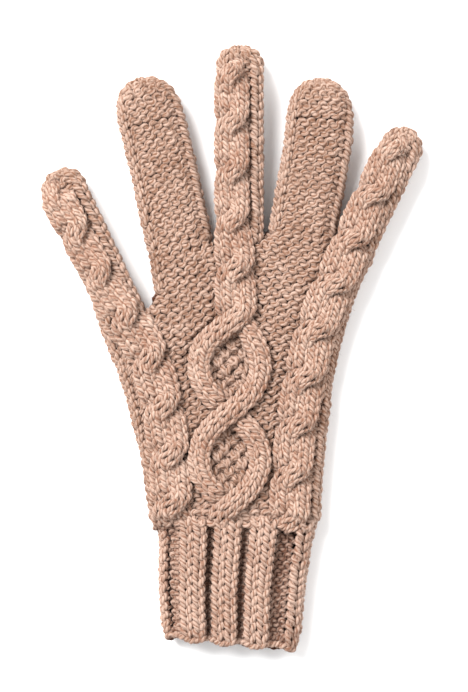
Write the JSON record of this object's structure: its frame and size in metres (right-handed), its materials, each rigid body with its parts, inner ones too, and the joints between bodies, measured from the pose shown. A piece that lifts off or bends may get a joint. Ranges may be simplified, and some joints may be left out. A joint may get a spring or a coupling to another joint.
{
  "type": "cable-knit glove",
  "caption": "Right-hand full-finger knitted glove with rope cables along thumb, middle and little fingers, linked cable diamonds on the back and a ribbed cuff.",
  "frame": {"origin": "on the resting plane, under the middle of the palm, below the crossing between the two cable diamonds", "axes": "+Y towards the fingertips, +X towards the little finger, +Z out of the back of the hand"},
  "size_m": [0.1541, 0.2401, 0.0164],
  "materials": {
    "ground_yarn": "heathered dusty pink-beige wool, purl side",
    "palm_yarn": "heathered dusty pink-beige wool, plain knit side",
    "cable_yarn": "heathered dusty pink-beige wool, raised cable stitches",
    "rib_yarn": "heathered dusty pink-beige wool, ribbing"
  },
  "bodies": {
    "hand": {"hand_back": "ground_yarn", "hand_palm": "palm_yarn", "wrist_welt": "rib_yarn", "thumb_cable_hand": "cable_yarn", "middle_cable_hand": "cable_yarn", "little_cable_hand": "cable_yarn", "diamond_strand_a": "cable_yarn", "diamond_strand_b": "cable_yarn", "moss_panel_upper": "ground_yarn", "moss_panel_lower": "ground_yarn"},
    "cuff": {"cuff_ribbing": "rib_yarn", "cast_on_edge": "rib_yarn"},
    "thumb_base": {"thumb_base_back": "ground_yarn", "thumb_base_palm": "palm_yarn", "thumb_cable_base": "cable_yarn"},
    "thumb_tip": {"thumb_tip_back": "ground_yarn", "thumb_tip_palm": "palm_yarn", "thumb_cable_tip": "cable_yarn"},
    "index_base": {"index_base_back": "ground_yarn", "index_base_palm": "palm_yarn"},
    "index_tip": {"index_tip_back": "ground_yarn", "index_tip_palm": "palm_yarn"},
    "middle_base": {"middle_base_back": "ground_yarn", "middle_base_palm": "palm_yarn", "middle_cable_base": "cable_yarn"},
    "middle_tip": {"middle_tip_back": "ground_yarn", "middle_tip_palm": "palm_yarn", "middle_cable_tip": "cable_yarn"},
    "ring_base": {"ring_base_back": "ground_yarn", "ring_base_palm": "palm_yarn"},
    "ring_tip": {"ring_tip_back": "ground_yarn", "ring_tip_palm": "palm_yarn"},
    "little_base": {"little_base_back": "ground_yarn", "little_base_palm": "palm_yarn", "little_cable_base": "cable_yarn"},
    "little_tip": {"little_tip_back": "ground_yarn", "little_tip_palm": "palm_yarn", "little_cable_tip": "cable_yarn"}
  },
  "joints": [
    {"name": "wrist_fold", "type": "hinge", "parent": "hand", "child": "cuff", "pos_m": [-0.001, -0.047, 0.0065], "axis": [1, 0, 0], "range_deg": [-40, 40]},
    {"name": "thumb_knuckle", "type": "hinge", "parent": "hand", "child": "thumb_base", "pos_m": [-0.04805, 0.04774, 0.0045], "axis": [-0.9041, -0.4274, 0], "range_deg": [-15, 70]},
    {"name": "thumb_bend", "type": "hinge", "parent": "thumb_base", "child": "thumb_tip", "pos_m": [-0.05916, 0.07124, 0.0045], "axis": [-0.9041, -0.4274, 0], "range_deg": [-15, 70]},
    {"name": "index_knuckle", "type": "hinge", "parent": "hand", "child": "index_base", "pos_m": [-0.02406, 0.07776, 0.0045], "axis": [-0.9763, -0.2164, 0], "range_deg": [-15, 70]},
    {"name": "index_bend", "type": "hinge", "parent": "index_base", "child": "index_tip", "pos_m": [-0.03012, 0.1051, 0.0045], "axis": [-0.9703, -0.2419, 0], "range_deg": [-15, 70]},
    {"name": "middle_knuckle", "type": "hinge", "parent": "hand", "child": "middle_base", "pos_m": [0.0024, 0.0805, 0.0045], "axis": [-1, 0, 0], "range_deg": [-15, 70]},
    {"name": "middle_bend", "type": "hinge", "parent": "middle_base", "child": "middle_tip", "pos_m": [0.0024, 0.1125, 0.0045], "axis": [-1, 0, 0], "range_deg": [-15, 70]},
    {"name": "ring_knuckle", "type": "hinge", "parent": "hand", "child": "ring_base", "pos_m": [0.02864, 0.08185, 0.0045], "axis": [-0.9848, 0.1736, 0], "range_deg": [-15, 70]},
    {"name": "ring_bend", "type": "hinge", "parent": "ring_base", "child": "ring_tip", "pos_m": [0.03315, 0.10745, 0.0045], "axis": [-0.9962, 0.0872, 0], "range_deg": [-15, 70]},
    {"name": "little_knuckle", "type": "hinge", "parent": "hand", "child": "little_base", "pos_m": [0.05277, 0.07727, 0.0045], "axis": [-0.9018, 0.4321, 0], "range_deg": [-15, 70]},
    {"name": "little_bend", "type": "hinge", "parent": "little_base", "child": "little_tip", "pos_m": [0.06141, 0.0953, 0.0045], "axis": [-0.9018, 0.4321, 0], "range_deg": [-15, 70]}
  ]
}
